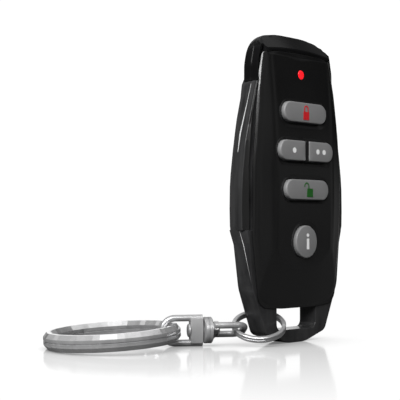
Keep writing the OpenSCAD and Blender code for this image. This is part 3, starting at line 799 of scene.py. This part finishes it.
# The part of each leg's crease that gets a painted highlight line
highlight_x = 15.5
highlight_span = (15.5, 25.6)
highlight_reach = 0.02
least_step = 0.004


def clean(line):
    """A closed line without points that lie on the one before."""
    return [p for i, p in enumerate(line) if (p - line[i - 1]).length > least_step]


def crease_rise(z):
    """Grows from 0 to 1 up the crease of a leg."""
    return between((z - crease_foot) / crease_run)


def chamfer_rise(z):
    """Grows up the rear edge of a leg and fades out below the grip."""
    return min(between((z - chamfer_foot) / chamfer_run), (leg_top - z) / chamfer_fade)


frame_line = clean(rounded(both_halves(frame_corners), bend_steps))


def leg_ring(y, inset, back, inward):
    """One slice of the frame, its legs cut on the outside by the crease or the rear chamfer."""
    ring = []
    for p, q in zip(frame_line, drawn_in(frame_line, inset)):
        wedge = 0.0
        if abs(p.x) > leg_x + leg_lean * p.y and p.y < leg_top:
            wedge = crease_rise(p.y) if y < 0 else chamfer_rise(p.y)
        ring.append((q.x - inward * wedge * side_of(p.x), y + back * wedge, q.y))
    return ring


def on_crease_highlight(x, y, z):
    """Tells the sharp line of a crease, where the painted highlight goes."""
    line = crease_y + crease_back * crease_rise(z)
    return abs(x) > highlight_x and highlight_span[0] < z < highlight_span[1] and abs(y - line) < highlight_reach


def paint_highlight(thing, where):
    """Marks the points of a mesh that get a painted highlight, where(x, y, z) being a test in millimetres."""
    painted_highlight = thing.data.attributes.new("painted_highlight", "FLOAT", "POINT")
    for i, v in enumerate(thing.data.vertices):
        painted_highlight.data[i].value = float(where(*(v.co / mm)))


loop = solid("loop_frame_body", stacked([leg_ring(*level) for level in frame_levels]), crease=12)
# Paints a highlight line along the crease of each leg
paint_highlight(loop, on_crease_highlight)
satin_grey = finish("dark grey nylon", dark=grey(0.01, 0.0105), light=grey(0.024, 0.0245),
                    rough=(0.12, 0.22), cloud=420, grain=2600, bump=0.22, wear_and_highlight=grey(0.03, 0.031),
                    shine=0.25, depth=0.05, stretch=0.3)
settle(loop, satin_grey, "case", "loop_frame")

# Side grips
# Two dark grey mouldings clipped into the legs of the frame. Each has a ridge along its outer
# face with a painted highlight line on its upper part, a front darkened as painted shade, and a
# groove painted near black as shadow where it stands off from the cover.
grip_foot = 26.20
grip_head = 60.30
grip_end = 0.1
grip_steps = 80
foot_inset = 0.03
head_inset = 0.12
grip_d = 2.45
# Tables of (height, value) up the grip
cover_side = [(24.3, 15.7), (41.0, 15.72), (49.0, 14.95), (58.0, 13.75), (60.4, 13.25)]
grip_side = [(24.3, 17.3), (25.4, 17.75), (27.2, 18.05), (31.0, 18.15), (36.0, 18.05), (39.0, 17.8),
             (44.5, 17.02), (49.0, 16.25), (51.6, 15.75), (56.0, 14.6), (60.3, 13.5)]
ridge_y = [(24.3, -0.2), (28.0, 0.2), (36.0, 0.3), (44.5, 0.35), (48.0, 0.3), (52.0, -0.2), (60.3, -0.6)]
streak_w = [(24.3, 0.1), (44.0, 0.12), (48.0, 0.3), (52.0, 0.22), (56.0, 0.1), (60.3, 0.08)]
swell_y = [(24.3, -1.5), (27.0, -1.85), (46.0, -1.9), (52.0, -2.1), (60.3, -2.2)]
# Parts of the section (outwards, backwards) from its back corner, its swell and its front edge
back_curve = [(-0.5, 0.0), (-0.38, -0.1)]
swell_curve = [(0.0, 0.42), (0.0, 0.3), (-0.03, 0.14), (-0.1, 0.03), (-0.22, -0.04), (-0.3, -0.065)]
front_curve = [(0.06, 0.06), (0.0, 0.0), (-0.1, 0.12)]
ridge_in, ridge_run, streak_in = 0.09, 0.4, 0.03
bulge = 0.18
bulge_top = 52.0
bulge_fade = 6.0
tuck = 0.25
groove_w = 0.85
front_step = 0.05
groove_step = 0.2
groove_deep = -1.5
groove_floor = -1.4
groove_clear = 0.02
# Heights and reach of the painted highlight line on each grip's ridge
ridge_highlight_span = (44.0, 59.5)
ridge_highlight_reach = 0.01
# Where the front facets of a grip take the painted shade
shade_foot = 50.0
shade_high, shade_low = 0.5, -0.03


def along(table, z):
    """Value at height z from a table of (height, value), straight between the entries."""
    for (a, u), (b, v) in zip(table, table[1:]):
        if z <= b:
            return u + (v - u) * max(z - a, 0) / (b - a)
    return table[-1][1]


def front_edge(z, inset=0.0):
    """How far out the front edge of a grip stands, beside the groove."""
    return min(along(cover_side, z) + groove_w, along(grip_side, z) - inset - front_step)


def grip_slice(z, side, inset):
    """One level slice of a grip, from its back over ridge and swell to the groove."""
    edge, out, front = along(cover_side, z), along(grip_side, z) - inset, front_edge(z, inset)
    ridge, streak, lean = along(ridge_y, z), along(streak_w, z), along(swell_y, z)
    full = out + bulge * between((bulge_top - z) / bulge_fade)
    section = [(edge - tuck, grip_d - inset)] + [(out + x, grip_d + y - inset) for x, y in back_curve]
    section += [(out - ridge_in, ridge + ridge_run), (out - streak_in, ridge + streak), (out, ridge),
                (out, ridge - streak)]
    section += [(full + x, lean + y) for x, y in swell_curve]
    section += [(front + x, y - grip_d + inset) for x, y in front_curve]
    section += [(front - groove_step, groove_deep), (edge - tuck, groove_floor)]
    return [(side * x, y, z) for x, y in section]


def on_ridge_highlight(x, y, z):
    """Tells the upper part of a grip's ridge, where the painted highlight goes."""
    return ridge_highlight_span[0] < z < ridge_highlight_span[1] and abs(y - along(ridge_y, z)) < ridge_highlight_reach


grip_grey = finish("dark grey grip", dark=grey(0.011, 0.0112), light=grey(0.025, 0.0255),
                   rough=(0.08, 0.14), cloud=600, grain=2200, bump=0.16, wear_and_highlight=grey(0.05, 0.051),
                   shine=0.12, depth=0.05, stretch=0.1)
# A darker copy of the grip colour, painted shade for the front facets
grip_front_shade = finish("grip front painted shade", dark=grey(0.004, 0.0042), light=grey(0.009, 0.0092),
                    rough=(0.2, 0.3), cloud=600, grain=2200, bump=0.1, wear_and_highlight=grey(0.012), shine=0.1,
                    depth=0.05, stretch=0.1)
# Near black for the groove faces, a painted shadow in the gap beside the cover
groove_shadow_black = finish("painted groove shadow", dark=grey(0.0008), light=grey(0.0014), rough=(0.5, 0.6), cloud=600,
                      grain=2200, bump=0.1, shine=0.0)
grip_rise = grip_head - grip_foot - 2 * grip_end
grip_levels = [(grip_foot + grip_end + grip_rise * k / grip_steps, 0.0) for k in range(grip_steps + 1)]
grip_levels = [(grip_foot, foot_inset)] + grip_levels + [(grip_head, head_inset)]
for side, name in ((-1, "grip_left"), (1, "grip_right")):
    grip = solid(name + "_body", stacked([grip_slice(z, side, inset) for z, inset in grip_levels]), crease=24)
    # Paints a highlight line along the upper ridge
    paint_highlight(grip, on_ridge_highlight)
    settle(grip, grip_grey, "case", name)
    grip.data.materials.append(grip_front_shade)
    grip.data.materials.append(groove_shadow_black)
    # Groove faces take the painted shadow black, and front facets the darker copy as painted shade
    for face in grip.data.polygons:
        x, y, z = face.center / mm
        if abs(x) < front_edge(z) - groove_clear and y < 0:
            face.material_index = 2
        elif y < along(swell_y, z) + (shade_high if z > shade_foot else shade_low):
            face.material_index = 1

# Small split ring
# A flat band of hardened steel coiled twice, with a satin finish, threaded on the left arm of
# the loop. A fine groove shows where its two turns lie on each other.
arm_x = -9.45
chain_turn = 147
small_mid, small_half_w, small_half_h = 5.75, 0.45, 0.7
small_flat, small_shoulder, small_groove = 0.33, 0.58, 0.07
small_slices = 96
small_x, small_z = 0.7, 4.25
small_lean, small_roll = 7, -26
satin_steel = finish("brushed steel", dark=grey(0.23, 0.235), light=grey(0.3, 0.305), rough=(0.28, 0.36),
                     cloud=250, grain=9000, bump=0.02, wear_and_highlight=grey(0.45), metal=0.6, depth=0.03)


def shift(x, y, z):
    return Matrix.Translation((x, y, z))


def rotate(angle, axis):
    return Matrix.Rotation(radians(angle), 4, axis)


def moved(skin, matrix):
    """A skin put in its place."""
    points, faces = skin
    return [matrix @ Vector(p) for p in points], faces


def turned(profile, angles):
    """A ring whose section (radius, height) is carried round the axis, one slice at each angle."""
    rings = [[(r * cos(a), r * sin(a), h) for r, h in profile] for a in angles + angles[:1]]
    return stacked(rings, start=False, end=False)


def band(mid, half_w, half_h, flat, shoulder, groove):
    """Section of a split ring: bevelled band with a groove half way up both faces."""
    upper = [(half_w, groove), (half_w, shoulder), (flat, half_h), (-flat, half_h), (-half_w, shoulder),
             (-half_w, groove)]
    lower = [(x, -z) for x, z in reversed(upper)]
    return [(mid + x, z) for x, z in upper + [(groove - half_w, 0)] + lower + [(half_w - groove, 0)]]


chain = shift(arm_x, 0, 0) @ rotate(chain_turn, "Z")
small_place = chain @ shift(small_x, 0, small_z) @ rotate(small_lean, "Y") @ rotate(small_roll, "X")
small_band = band(small_mid, small_half_w, small_half_h, small_flat, small_shoulder, small_groove)
small_turns = [2 * pi * k / small_slices for k in range(small_slices)]
small_ring = solid("small_ring_band", moved(turned(small_band, small_turns), small_place), crease=30)
settle(small_ring, satin_steel, "small_ring", "small_ring")

# Swivel links
# Two loops of bent steel wire, each closed by a small block that the swivel pin runs through.
# The first hooks the small ring, the second the key ring.
swivel_z = 3.55
wire_r = 0.75
wire_sides = 18
link_half = 2.8
block_past = 0.1
fob_roll, ring_roll = 26, 90


def wire(corners):
    """A round wire along flat corners (t, s, bend radius)."""
    line = clean(rounded(corners, bend_steps))
    rings = []
    for i, p in enumerate(line):
        a, b = line[max(i - 1, 0)], line[min(i + 1, len(line) - 1)]
        way = (b - a).normalized()
        out = Vector((way.y, -way.x))
        rings.append([(p.x + out.x * wire_r * cos(q), p.y + out.y * wire_r * cos(q), wire_r * sin(q))
                      for q in (2 * pi * k / wire_sides for k in range(wire_sides))])
    return stacked(rings)


def bar(t0, t1, half, thick, bevel):
    """A bevelled block from t0 to t1."""
    rings = []
    for t, g in ((t0, bevel), (t0 + bevel, 0), (t1 - bevel, 0), (t1, bevel)):
        line = rectangle(g - half, half - g, g - thick, thick - g, bevel, 3)
        rings.append([(t, p.x, p.y) for p in line])
    return stacked(rings)


def link_skin(root, bow, bend, block_start, block_end, thick, bevel):
    """A wire bent back at bow, both its ends in a block, along the chain."""
    bent = [(root, link_half, 0), (bow, link_half, bend), (bow, -link_half, bend), (root, -link_half, 0)]
    return joined(wire(bent), bar(block_start, block_end, link_half + block_past, thick, bevel))


at_swivel = chain @ shift(0, 0, swivel_z)
fob_skin = link_skin(root=11.7, bow=4.4, bend=2, block_start=10.7, block_end=11.8, thick=1.1, bevel=0.15)
fob_link = solid("fob_link_wire", moved(fob_skin, at_swivel @ rotate(fob_roll, "X")), crease=30)
settle(fob_link, satin_steel, "fob_link", "fob_link")
ring_skin = link_skin(root=14.0, bow=23.15, bend=2.7, block_start=13.9, block_end=16.9, thick=1.2, bevel=0.18)
ring_link = solid("ring_link_wire", moved(ring_skin, at_swivel @ rotate(ring_roll, "X")), crease=30)
settle(ring_link, satin_steel, "ring_link", "ring_link")

# Swivel collar and pin
# A turned steel collar between the two blocks and the riveted pin through all three, so that
# the links can spin against each other.
collar_levels = [(11.85, 2.75), (12.05, 3.0), (12.7, 3.0), (12.75, 2.93), (12.85, 2.93), (12.9, 3.0),
                 (13.55, 3.0), (13.75, 2.75)]
pin_levels = [(10.15, 1.1), (10.25, 1.4), (10.35, 1.5), (10.65, 1.5), (10.65, 0.9), (16.95, 0.9),
              (16.95, 1.5), (17.25, 1.5), (17.37, 1.35), (17.45, 1.0)]


def lathe(levels):
    """A round piece along the chain from levels (place, radius)."""
    return stacked([[(t, p.x, p.y) for p in disc(0, 0, 2 * r)] for t, r in levels])


collar = solid("swivel_collar_body", moved(lathe(collar_levels), at_swivel), crease=30)
settle(collar, satin_steel, "fob_link", "swivel_collar")
pin = solid("swivel_pin_body", moved(lathe(pin_levels), at_swivel), crease=30)
settle(pin, satin_steel, "fob_link", "swivel_pin")

# Key ring
# The large split ring, two turns of bevelled spring steel, ground into flat facets and
# polished. It hangs in the second link and rests on the floor at its far side.
key_mid, key_half_w, key_half_h = 14.1, 1.2, 1.85
key_flat, key_shoulder, key_groove = 0.4, 0.85, 0.13
key_hook = 20.45
key_lean = 3.408
facets = 18
facet_half = 0.35
bright_steel = finish("polished steel", dark=grey(0.34, 0.345), light=grey(0.48, 0.485),
                      rough=(0.05, 0.12), cloud=700, grain=9000, bump=0.04, wear_and_highlight=grey(0.7), metal=0.75,
                      depth=0.03)
facet_turns = [2 * pi * (k + s * facet_half) / facets for k in range(facets) for s in (-1, 1)]
key_place = at_swivel @ shift(key_hook, 0, 0) @ rotate(key_lean, "Y") @ shift(key_mid, 0, 0)
key_band = band(key_mid, key_half_w, key_half_h, key_flat, key_shoulder, key_groove)
key_ring = solid("key_ring_band", moved(turned(key_band, facet_turns), key_place), crease=4)
settle(key_ring, bright_steel, "key_ring", "key_ring")

# Floor, light and camera
# A plain pale floor that mirrors the fob faintly and glows darker near it as a painted contact
# shadow, a long lamp at the front left, a wide one overhead and a white room with uneven panels.
# The camera stands low at the front left.
floor_half = 0.6
floor_tone = (0.09, 0.09, 0.09, 1)
white = (1, 1, 1, 1)
to_viewer = (-0.707, -0.707, 0)
room_glow = 1.05
floor_mesh = bpy.data.meshes.new("floor")
floor_mesh.from_pydata([(x * floor_half, y * floor_half, 0) for x, y in ((-1, -1), (1, -1), (1, 1), (-1, 1))],
                       [], [(0, 1, 2, 3)])
floor = bpy.data.objects.new("floor", floor_mesh)
bpy.context.scene.collection.objects.link(floor)
floor_white = bpy.data.materials.new("pale floor")
floor_white.use_nodes = True
floor_tree = floor_white.node_tree
floor_node, floor_link = floor_tree.nodes.new, floor_tree.links.new


def mixed(factor, first, second):
    """A shader of the floor that goes from first to second."""
    mix = floor_node("ShaderNodeMixShader")
    for socket, source in zip(mix.inputs, (factor, first, second)):
        floor_link(source, socket)
    return mix.outputs["Shader"]


matt = floor_tree.nodes["Principled BSDF"]
matt.inputs["Roughness"].default_value = 0.9
matt.inputs["Specular IOR Level"].default_value = 0.0
matt.inputs["Base Color"].default_value = floor_tone
# Ambient occlusion darkens the floor's glow near the fob as a painted contact shadow
shelter = floor_node("ShaderNodeAmbientOcclusion")
shelter.samples = 16
shelter.inputs["Distance"].default_value = 0.02
paper = floor_node("ShaderNodeEmission")
painted_contact_shadow = map_range(floor_tree, shelter.outputs["AO"], span=(0.1, 0.85), result=(0.25, 1.03))
floor_link(painted_contact_shadow, paper.inputs["Strength"])
polish = floor_node("ShaderNodeBsdfGlossy")
polish.inputs["Roughness"].default_value = 0.1
polish.inputs["Color"].default_value = white
spot = floor_node("ShaderNodeTexCoord")
nearer = floor_node("ShaderNodeVectorMath")
nearer.operation = "DOT_PRODUCT"
nearer.inputs[1].default_value = to_viewer
floor_link(spot.outputs["Object"], nearer.inputs[0])
mirror = map_range(floor_tree, nearer.outputs["Value"], span=(0.02, 0.1), result=(0.38, 0.0))
far_off = floor_node("ShaderNodeVectorMath")
far_off.operation = "LENGTH"
floor_link(spot.outputs["Object"], far_off.inputs[0])
fade = map_range(floor_tree, far_off.outputs["Value"], span=(0.08, 0.3), result=(1.0, 0.0))
watched = floor_node("ShaderNodeLightPath").outputs["Is Camera Ray"]
clear = floor_node("ShaderNodeBsdfTransparent").outputs["BSDF"]
shown = mixed(watched, matt.outputs["BSDF"], mixed(mirror, paper.outputs["Emission"], polish.outputs["BSDF"]))
floor_link(mixed(fade, clear, shown), floor_tree.nodes["Material Output"].inputs["Surface"])
floor_mesh.materials.append(floor_white)

room = bpy.data.worlds.new("white room")
bpy.context.scene.world = room
room.use_nodes = True
room_tree = room.node_tree
room_node, room_link = room_tree.nodes.new, room_tree.links.new
heading = room_node("ShaderNodeTexCoord").outputs["Generated"]


def wall(towards, span, tones):
    """Tone of the room by direction: the second tone towards a side of it, the first elsewhere."""
    facing = room_node("ShaderNodeVectorMath")
    facing.operation = "DOT_PRODUCT"
    facing.inputs[1].default_value = towards
    room_link(heading, facing.inputs[0])
    return map_range(room_tree, facing.outputs["Value"], span, tones, "SMOOTHSTEP")


def worked(operation, first, second):
    """Two tones of the room multiplied or added."""
    node = room_node("ShaderNodeMath")
    node.operation = operation
    room_link(first, node.inputs[0])
    room_link(second, node.inputs[1])
    return node.outputs["Value"]


panels = room_node("ShaderNodeTexNoise")
panels.inputs["Scale"].default_value = 4.0
panels.inputs["Detail"].default_value = 0.0
room_link(heading, panels.inputs["Vector"])
uneven = map_range(room_tree, panels.outputs["Fac"], span=(0.4, 0.6), result=(0.1, 3.2))
ceiling = wall(towards=(0.0, 0.0, 1.0), span=(0.2, 0.9), tones=(0.07, 0.3))
dark_corner = wall(towards=(0.7, 0.0, 0.71), span=(0.7, 0.95), tones=(1.0, 0.25))
back_wall = wall(towards=(0.7, 0.7, 0.1), span=(0.93, 0.975), tones=(0.0, 0.95))
dimmed = worked("MULTIPLY", worked("MULTIPLY", ceiling, uneven), dark_corner)
sky = room_node("ShaderNodeMix")
room_link(room_node("ShaderNodeLightPath").outputs["Is Camera Ray"], sky.inputs["Factor"])
room_link(worked("ADD", dimmed, back_wall), sky.inputs["A"])
sky.inputs["B"].default_value = room_glow
background = room_tree.nodes["Background"]
background.inputs["Color"].default_value = white
room_link(sky.outputs["Result"], background.inputs["Strength"])


def soft_lamp(name, at, aim, size, glow):
    """A wide soft lamp of even glow at a point, turned towards another, both in metres."""
    light = bpy.data.lights.new(name, "AREA")
    light.shape, light.size, light.size_y = "RECTANGLE", size[0], size[1]
    light.energy = glow * pi * size[0] * size[1]
    lamp = bpy.data.objects.new(name, light)
    lamp.location = at
    lamp.rotation_euler = (Vector(aim) - Vector(at)).to_track_quat("-Z", "Y").to_euler()
    bpy.context.scene.collection.objects.link(lamp)


soft_lamp("front lamp", at=(-0.457, -0.203, 0.37), aim=(0, 0, 0.06), size=(0.75, 0.2), glow=20.0)
soft_lamp("overhead lamp", at=(0.05, -0.05, 0.6), aim=(-0.01, 0, 0.02), size=(0.7, 0.7), glow=0.7)
bpy.context.scene.view_settings.view_transform = "Standard"

eye = bpy.data.cameras.new("camera")
eye.lens, eye.sensor_width, eye.sensor_fit, eye.clip_start = 95.12, 36, "HORIZONTAL", 0.001
camera = bpy.data.objects.new("camera", eye)
camera.location = (-0.19159, -0.16215, 0.02655)
camera.rotation_euler = (radians(91.556), 0, radians(-44.98))
bpy.context.scene.collection.objects.link(camera)
bpy.context.scene.camera = camera
